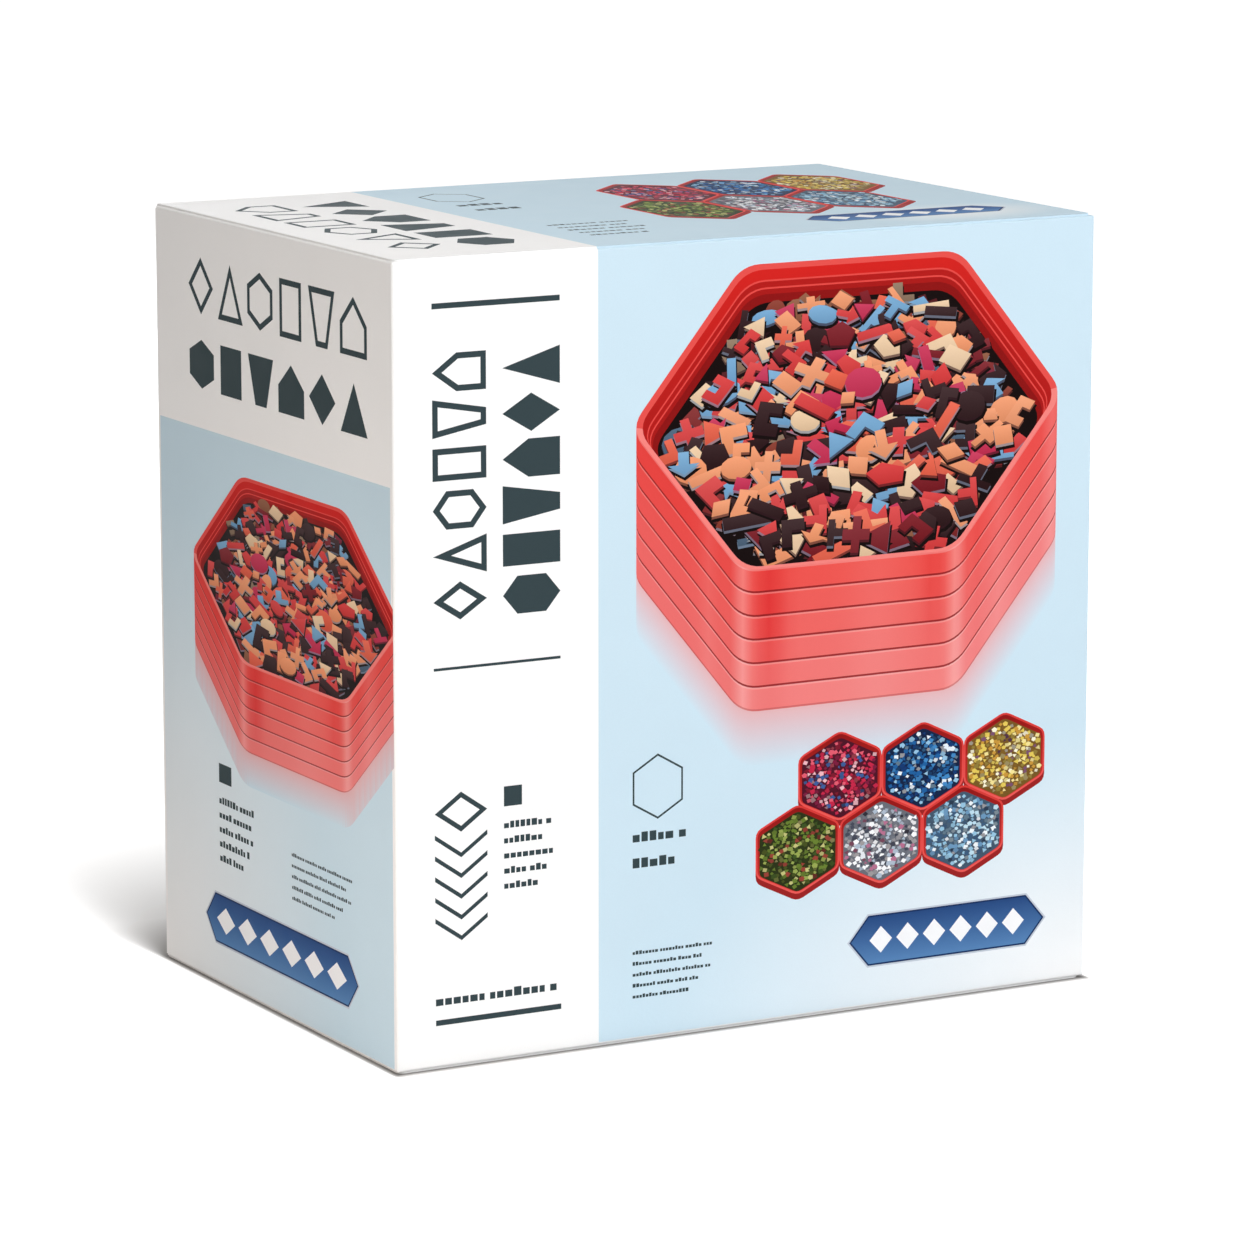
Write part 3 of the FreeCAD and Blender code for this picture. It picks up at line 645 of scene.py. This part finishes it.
def side_pictures(sheet):
    """What both side panels show: a row of solid figures over a picture, and a ribbon."""
    scale_u = (DEPTH - SIDE_PICTURE_START + SIDE_PICTURE_OVERRUN) / 2 / DISH_HALF_WIDTH
    centre_u, scale_v = SIDE_PICTURE_START + scale_u * DISH_HALF_WIDTH, SIDE_DISH_HEIGHT / DISH_HEIGHT
    dish_stack(sheet, centre_u, SIDE_DISH_FOOT, scale_u, scale_v, SIDE_CHIPS)
    figure_row(sheet, SIDE_ROWS_START, SIDE_ROWS_LENGTH, SIDE_BOLD_BASE, SIDE_BOLD_ROW, False, False)
    lozenge_ribbon(sheet, 25.4, RIBBON_FOOT, 90.0)


def left_sheet():
    """The left panel's print: white above, a pale blue field below."""
    flat = (FOLD, PANEL_FOOT, DEPTH - FOLD, PANEL_TOP)
    sheet = Sheet((LOW.x, HIGH.y, 0), (0, -1, 0), (0, 0, 1), flat)
    sheet.lay(rectangle(SIDE_CLEAR, 0, DEPTH - 2 * SIDE_CLEAR, SIDE_FIELD_HEIGHT), PALE_BLUE, "field")
    side_pictures(sheet)
    figure_row(sheet, SIDE_ROWS_START, SIDE_ROWS_LENGTH, SIDE_OUTLINE_BASE, OUTLINE_ROW, True, False)
    text_top = SIDE_DISH_FOOT - 6.0
    sheet.lay(rectangle(SIDE_LINES, text_top - SQUARE_MARK, 7.5, SQUARE_MARK), DARK_GREY)
    bar_lines(sheet, SIDE_LINES, text_top - 8.8, 21.9, SIDE_SIGN_LINES, 9)
    bar_lines(sheet, 77.6, text_top - 15.0, 34.5, FINE_LINES, 5)
    return sheet


def right_sheet():
    """The right panel's print, on the field that wraps round from the front."""
    flat = (FOLD, PANEL_FOOT, DEPTH - BOARD - FOLD, PANEL_TOP)
    sheet = Sheet((HIGH.x, LOW.y, 0), (0, 1, 0), (0, 0, 1), flat)
    sheet.lay(rectangle(0, 0, DEPTH, HEIGHT), PALE_BLUE, "field")
    white = rectangle(SIDE_CLEAR, SIDE_FIELD_HEIGHT, DEPTH - BOARD - 2 * SIDE_CLEAR, HEIGHT)
    sheet.lay(white, BOARD_WHITE, "board")
    side_pictures(sheet)
    bar_lines(sheet, SIDE_ROWS_START, HEIGHT - 14.0, 60.0, (1.8, 4.2, 4), 17)
    bar_lines(sheet, SIDE_LINES, SIDE_DISH_FOOT - 16.0, 62.0, FINE_LINES, 19)
    return sheet


def back_sheet():
    """The back panel's print: rules and small lines on the band, more lines and a ribbon on the field."""
    flat = (FLAP_EDGE, PANEL_FOOT, WIDTH - FOLD, PANEL_TOP)
    sheet = Sheet((HIGH.x, HIGH.y, 0), (-1, 0, 0), (0, 0, 1), flat)
    sheet.lay(rectangle(0, 0, FIELD_WIDTH, HEIGHT), PALE_BLUE, "field")
    band = FIELD_WIDTH + BAND_MARGIN
    for foot in (HIGH_RULE, LOW_RULE):
        sheet.lay(rectangle(band, foot, RULE_LENGTH, RULE), DARK_GREY)
    for block, (top, lines) in enumerate(((180.0, 6), (144.0, 4), (118.0, 5), (42.0, 6))):
        bar_lines(sheet, band, top, RULE_LENGTH, (1.7, 4.4, lines), 31 + block)
    stacked_sign(sheet, band, 50.0)
    for block in range(5):
        bar_lines(sheet, 14.0, 178.0 - 23.0 * block, 112.0, (1.3, 3.4, 4), 41 + block)
    lozenge_ribbon(sheet, RIBBON_MARGIN, RIBBON_FOOT, RIBBON_LENGTH)
    return sheet


def lid_sheet():
    """The top panel's print, which reads on from the front panel."""
    flat = (FLAP_EDGE, FLAP_EDGE, WIDTH - FLAP_EDGE, DEPTH - FOLD)
    sheet = Sheet((LOW.x, LOW.y, HIGH.z), (1, 0, 0), (0, 1, 0), flat)
    sheet.lay(rectangle(BAND_WIDTH, 0, FIELD_WIDTH, DEPTH), PALE_BLUE, "field")
    cell_rows(sheet, CELLS_START, 36.0, (DEPTH - 36.0 - 18.0) / CELLS_DEPTH)
    lozenge_ribbon(sheet, WIDTH - RIBBON_MARGIN - RIBBON_LENGTH, LID_MARGIN, RIBBON_LENGTH)
    title_rows(sheet, LID_MARGIN, DEPTH - 2 * LID_MARGIN)
    badge(sheet, FIELD_LINES, 110.0, 10.5, 0.6)
    bar_lines(sheet, FIELD_LINES, 95.0, 16.0, LID_BADGE_LINES, 3)
    bar_lines(sheet, FIELD_LINES, 45.0, 23.0, LID_LINES, 5)
    return sheet


# Materials

class Shader:
    """A material's nodes, with short calls to add and link them."""

    def __init__(self, name):
        self.material = bpy.data.materials.new(name)
        self.material.use_nodes = True
        self.nodes = self.material.node_tree.nodes
        self.links = self.material.node_tree.links
        self.surface = self.nodes["Principled BSDF"]
        self.position = self.nodes.new("ShaderNodeTexCoord").outputs["Object"]

    def add(self, kind, **settings):
        node = self.nodes.new(kind)
        for key, value in settings.items():
            setattr(node, key, value)
        return node

    def feed(self, socket, value):
        if isinstance(value, bpy.types.NodeSocket):
            self.links.new(value, socket)
        else:
            socket.default_value = value

    def math(self, operation, a, b=0.0, clamp=False):
        node = self.add("ShaderNodeMath", operation=operation, use_clamp=clamp)
        self.feed(node.inputs[0], a)
        self.feed(node.inputs[1], b)
        return node.outputs[0]

    def ramp(self, value, low, high, first=0.0, last=1.0):
        """The first value at low, the last at high, and even between them."""
        spread = self.add("ShaderNodeMapRange")
        settings = {"Value": value, "From Min": low, "From Max": high, "To Min": first, "To Max": last}
        for name, setting in settings.items():
            self.feed(spread.inputs[name], setting)
        return spread.outputs["Result"]

    def noise(self, scale, detail, low, high):
        texture = self.add("ShaderNodeTexNoise")
        self.feed(texture.inputs["Vector"], self.position)
        self.feed(texture.inputs["Scale"], scale)
        self.feed(texture.inputs["Detail"], detail)
        return self.ramp(texture.outputs["Fac"], 0.3, 0.7, low, high)

    def length(self, vector):
        node = self.add("ShaderNodeVectorMath", operation="LENGTH")
        self.feed(node.inputs[0], vector)
        return node.outputs["Value"]

    def blend(self, kind, share, first, second):
        node = self.add("ShaderNodeMix", data_type="RGBA", blend_type=kind)
        self.feed(node.inputs["Factor"], share)
        self.feed(node.inputs[6], first)
        self.feed(node.inputs[7], second)
        return node.outputs[2]


# The varnished board's grain: scale, detail, and the values at both ends
MOTTLE = (55.0, 4.0, 0.988, 1.004)
SPECKLE = (2600.0, 2.0, 0.986, 1.004)
SATIN = (120.0, 5.0, 0.46, 0.6)
FIBRE = (900.0, 3.0, 0.0, 1.0)
FIBRE_STRENGTH = 0.12
FIBRE_DEPTH = 0.00008
SHEEN = 0.02
COAT = 0.02
COAT_ROUGHNESS = 0.22


def varnished(name, colour_of):
    """Coated board under a satin varnish, with ink mottle and the board's faint fibre."""
    shader = Shader(name)
    surface = shader.surface.inputs
    colour = colour_of(shader)
    mottle = shader.math("MULTIPLY", shader.noise(*MOTTLE), shader.noise(*SPECKLE))
    shader.feed(surface["Base Color"], shader.blend("MULTIPLY", 1.0, colour, mottle))
    shader.feed(surface["Roughness"], shader.noise(*SATIN))
    shader.feed(surface["Specular IOR Level"], SHEEN)
    shader.feed(surface["Coat Weight"], COAT)
    shader.feed(surface["Coat Roughness"], COAT_ROUGHNESS)
    bump = shader.add("ShaderNodeBump")
    shader.feed(bump.inputs["Strength"], FIBRE_STRENGTH)
    shader.feed(bump.inputs["Distance"], FIBRE_DEPTH)
    shader.feed(bump.inputs["Height"], shader.noise(*FIBRE))
    shader.feed(surface["Normal"], bump.outputs["Normal"])
    return shader.material


def white_board(shader):
    return (*daylight(BOARD_WHITE), 1.0)


def printed_ink(shader):
    return shader.add("ShaderNodeAttribute", attribute_name="ink").outputs["Color"]


# Painted glare, where the blue fades to white, in metres: the middle and the reach each way
GLARE_PATCHES = (
    ((HIGH.x, LOW.y, 0.0), (0.130, 0.060, 0.068)),
    ((LOW.x, HIGH.y, 0.0), (0.060, 0.105, 0.125)),
    ((HIGH.x - 0.030, LOW.y + 0.020, HIGH.z), (0.032, 0.018, 0.003)),
)


def blue_with_painted_glare(shader):
    """Pale blue with painted glare that fades it to bare white at one corner of the front, the left and the
    top panel.
    """
    painted_glare = 0.0
    # Each patch of painted glare whitens the blue towards its middle
    for centre, reach in GLARE_PATCHES:
        away = shader.add("ShaderNodeVectorMath", operation="SUBTRACT")
        shader.feed(away.inputs[0], shader.position)
        shader.feed(away.inputs[1], centre)
        share = shader.add("ShaderNodeVectorMath", operation="DIVIDE")
        shader.feed(share.inputs[0], away.outputs[0])
        shader.feed(share.inputs[1], reach)
        near = shader.math("SUBTRACT", 1.0, shader.length(share.outputs[0]), clamp=True)
        painted_glare = shader.math("MAXIMUM", shader.math("POWER", near, 1.1), painted_glare)
    return shader.blend("MIX", painted_glare, (*daylight(PALE_BLUE), 1.0), (*daylight(BOARD_WHITE), 1.0))


def distance_of(shader, *shares):
    """How far out three shares reach together, at most one."""
    together = shader.add("ShaderNodeCombineXYZ")
    for socket, share in zip(together.inputs, shares):
        shader.feed(socket, share)
    return shader.math("MINIMUM", shader.length(together.outputs[0]), 1.0)


def floor_material():
    """White ground that keeps the carton's shadow, with a painted shadow darkening its colour at the
    carton's foot and behind it, and runs out to plain white around it.
    """
    shader = Shader("studio_floor")
    place = shader.add("ShaderNodeSeparateXYZ")
    shader.feed(place.inputs[0], shader.position)
    across = shader.math("ABSOLUTE", place.outputs["X"])
    back, front = place.outputs["Y"], shader.math("MULTIPLY", place.outputs["Y"], -1.0)
    behind = shader.math("MAXIMUM", shader.math("SUBTRACT", back, HIGH.y), 0.0)
    softness = shader.math("MULTIPLY", behind, SHADOW_SOFTNESS)
    spread = shader.math("MINIMUM", shader.math("MULTIPLY", behind, SHADOW_FLARE), SHADOW_SPREAD)
    outer = shader.math("ADD", spread, HIGH.x + CONTACT)
    inner = shader.math("SUBTRACT", HIGH.x - SHADOW_OVERLAP, softness)
    ahead = shader.ramp(front, HIGH.y, HIGH.y + FRONT_CONTACT)

    beside = shader.ramp(across, HIGH.x, outer)
    # Painted shadow: the floor's colour darkens to FLOOR_SHADED at the carton's foot and behind it
    near = distance_of(shader, beside, ahead, shader.ramp(back, HIGH.y, SHADOW_CORE))
    surface = shader.surface.inputs
    shader.feed(surface["Base Color"], shader.blend("MIX", near, (*FLOOR_SHADED, 1.0), (*FLOOR_WHITE, 1.0)))
    shader.feed(surface["Roughness"], 0.9)
    shader.feed(surface["Specular IOR Level"], 0.0)

    # Painted shadow edge: the glow gives way near the carton so its real shadow shows, and its falloff
    # shapes the soft edge
    side = shader.math("POWER", shader.ramp(across, inner, outer), SIDE_FALLOFF)
    out = distance_of(shader, side, ahead, shader.ramp(back, SHADOW_START, SHADOW_END))
    glow = shader.math("MULTIPLY", shader.math("POWER", out, GLOW_FALLOFF), FLOOR_GLOW)
    shader.feed(surface["Emission Color"], (1.0, 1.0, 1.0, 1.0))
    shader.feed(surface["Emission Strength"], shader.math("MULTIPLY", seen_rays(shader), glow))
    return shader.material


# The rays that show the background: the camera's, and those off or through the object
SEEN_RAYS = ("Is Camera Ray", "Is Glossy Ray", "Is Transmission Ray")


def seen_rays(shader):
    """One for the rays that show the background."""
    path = shader.add("ShaderNodeLightPath")
    camera, glossy, through = [path.outputs[name] for name in SEEN_RAYS]
    return shader.math("MAXIMUM", shader.math("MAXIMUM", camera, glossy), through)


# Studio

# The shadow on the ground, in metres, partly painted into the floor's colour and its glow: its soft sides
# widen behind the carton
CONTACT = 0.0018
FRONT_CONTACT = 0.0035
SHADOW_OVERLAP = 0.001
SHADOW_SPREAD = 0.0027
SHADOW_CORE = 0.108
SHADOW_START = 0.085
SHADOW_END = 0.226
# How fast it widens outwards and inwards, and how its light falls off
SHADOW_FLARE = 0.09
SHADOW_SOFTNESS = 0.76
SIDE_FALLOFF = 3.0
GLOW_FALLOFF = 1.2
FLOOR_GLOW = 0.71
FLOOR_WHITE = (0.86, 0.85, 0.84)
FLOOR_SHADED = (0.30, 0.29, 0.28)
WORLD_LIGHT = 0.22
WARM = (1.0, 0.885, 0.80)
PLAIN = (0.925, 0.96, 1.0)

CAMERA_PLACE = (-0.7023, -1.2701, 0.3672)
CAMERA_DOWN = 10.781
CAMERA_TURN = -28.999
CAMERA_LENS = 163.3

# Suns: name, where it stands, how wide it looks in degrees, strength and colour
SUNS = (
    ("front_sun", (-0.05, -1.0, 0.6), 16, 0.428, PLAIN),
    ("top_sun", (0.0, -0.2, 1.0), 60, 0.42, WARM),
)
# Soft boxes: name, place, target, width in metres, power and colour
SOFT_BOXES = (
    ("over_left", (-0.30, -0.30, 0.52), (-0.05, 0.0, 0.2), 0.2, 0.375, WARM),
    ("over_front", (-0.15, -0.30, 0.70), (-0.05, 0.0, 0.2), 0.2, 0.52, PLAIN),
    ("left_low", (-0.27, -0.10, 0.03), (-0.1, 0.02, 0.02), 0.12, 0.130, WARM),
    ("front_near", (-0.1, -0.9, 0.15), (0.0, 0.0, 0.1), 0.5, 0.62, PLAIN),
    ("front_right", (0.35, -0.9, 0.45), (0.0, 0.0, 0.1), 0.5, 2.74, PLAIN),
    ("right_fill", (1.2, -0.45, 0.45), (0.0, 0.0, 0.1), 0.6, 2.8, PLAIN),
    ("back_fill", (0.1, 1.4, 0.6), (0.0, 0.0, 0.1), 1.0, 7.0, PLAIN),
)


def make_floor():
    size = 6.0
    mesh = bpy.data.meshes.new("studio_floor")
    corners = [(u, v, 0) for u, v in rectangle(-size, -size, 2 * size, 2 * size)]
    mesh.from_pydata(corners, [], [(0, 1, 2, 3)])
    mesh.materials.append(floor_material())
    floor = bpy.data.objects.new("studio_floor", mesh)
    bpy.context.scene.collection.objects.link(floor)


def make_world():
    """Soft light all round, and plain white where the background is seen."""
    world = bpy.data.worlds.new("studio")
    bpy.context.scene.world = world
    world.use_nodes = True
    nodes, links = world.node_tree.nodes, world.node_tree.links
    soft = nodes["Background"]
    soft.inputs["Color"].default_value = (1.0, 1.0, 1.0, 1.0)
    soft.inputs["Strength"].default_value = WORLD_LIGHT
    white = nodes.new("ShaderNodeBackground")
    white.inputs["Strength"].default_value = 1.0
    white.inputs["Color"].default_value = (1.0, 1.0, 1.0, 1.0)
    path = nodes.new("ShaderNodeLightPath")
    choice = nodes.new("ShaderNodeMixShader")
    seen = path.outputs[SEEN_RAYS[0]]
    for ray in SEEN_RAYS[1:]:
        either = nodes.new("ShaderNodeMath")
        either.operation = "MAXIMUM"
        links.new(seen, either.inputs[0])
        links.new(path.outputs[ray], either.inputs[1])
        seen = either.outputs[0]
    links.new(seen, choice.inputs["Fac"])
    links.new(soft.outputs[0], choice.inputs[1])
    links.new(white.outputs[0], choice.inputs[2])
    links.new(choice.outputs[0], nodes["World Output"].inputs["Surface"])


def lamp(name, kind, place, target, power, colour):
    """A lamp that stands at place and faces target."""
    light = bpy.data.lights.new(name, kind)
    light.energy = power
    light.color = colour
    obj = bpy.data.objects.new(name, light)
    obj.location = place
    obj.rotation_euler = (Vector(target) - Vector(place)).to_track_quat("-Z", "Y").to_euler()
    bpy.context.scene.collection.objects.link(obj)
    return light


def make_lights():
    for name, place, width, power, colour in SUNS:
        lamp(name, "SUN", place, (0, 0, 0), power, colour).angle = math.radians(width)
    for name, place, target, width, power, colour in SOFT_BOXES:
        light = lamp(name, "AREA", place, target, power, colour)
        light.shape = "DISK"
        light.size = width


def make_camera():
    """The photograph's long lens, from the front left and a little above."""
    lens = bpy.data.cameras.new("camera")
    lens.sensor_width = 36.0
    lens.lens = CAMERA_LENS
    lens.clip_start = 0.01
    camera = bpy.data.objects.new("camera", lens)
    camera.location = CAMERA_PLACE
    camera.rotation_euler = (math.radians(90 - CAMERA_DOWN), 0, math.radians(CAMERA_TURN))
    bpy.context.scene.collection.objects.link(camera)
    bpy.context.scene.camera = camera


def dress_carton():
    """Puts the print on the panels and finishes the board and its wrap."""
    nodes = frame["nodes"]
    board = varnished("coated_board", white_board)
    # The field's material carries the painted glare
    field = varnished("pale_blue_field", blue_with_painted_glare)
    stocks = {"board": board, "field": field, "ink": varnished("printed_ink", printed_ink)}
    hidden = sorted(name for name in nodes if name not in ("carton", "print_pale_blue"))
    sheets = {"front_print": front_sheet(), "left_print": left_sheet(), "lid_print": lid_sheet(),
              "right_print": right_sheet(), "back_print": back_sheet()}
    for name, sheet in sheets.items():
        mesh = sheet.mesh(name, list(stocks))
        for material in stocks.values():
            mesh.materials.append(material)
        piece = bpy.data.objects.new(name, mesh)
        bpy.context.scene.collection.objects.link(piece)
        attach(piece, "root")
        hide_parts(*hidden)
    for name, material in (("carton", board), ("print_pale_blue", field)):
        for slot in nodes[name].material_slots:
            slot.material = material


bpy.context.scene.view_settings.view_transform = "Standard"
dress_carton()
make_floor()
make_world()
make_lights()
make_camera()
